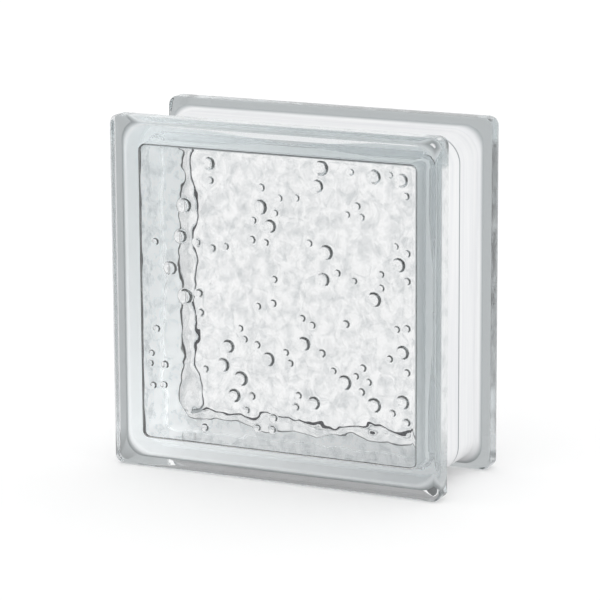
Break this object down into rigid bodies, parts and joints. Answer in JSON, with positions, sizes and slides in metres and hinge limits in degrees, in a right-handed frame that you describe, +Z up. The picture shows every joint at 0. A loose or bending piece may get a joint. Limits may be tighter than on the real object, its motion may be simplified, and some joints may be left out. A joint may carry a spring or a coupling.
{
  "type": "hollow glass block",
  "caption": "Square hollow glass block of two fused pressed half-shells, with a mortar groove round its edges and a raised bubble pattern inside its faces.",
  "frame": {"origin": "middle of the underside, between the two lips that the block stands on", "axes": "+X across the block's width, +Y from the front face to the back face, +Z up"},
  "size_m": [0.19, 0.08, 0.19],
  "materials": {
    "pressed_glass": "clear pressed glass with smooth outer faces, bubbles inside the faces, and a white bonding coat in the mortar groove"
  },
  "bodies": {
    "root": {"front_shell": "pressed_glass", "back_shell": "pressed_glass"}
  },
  "joints": []
}
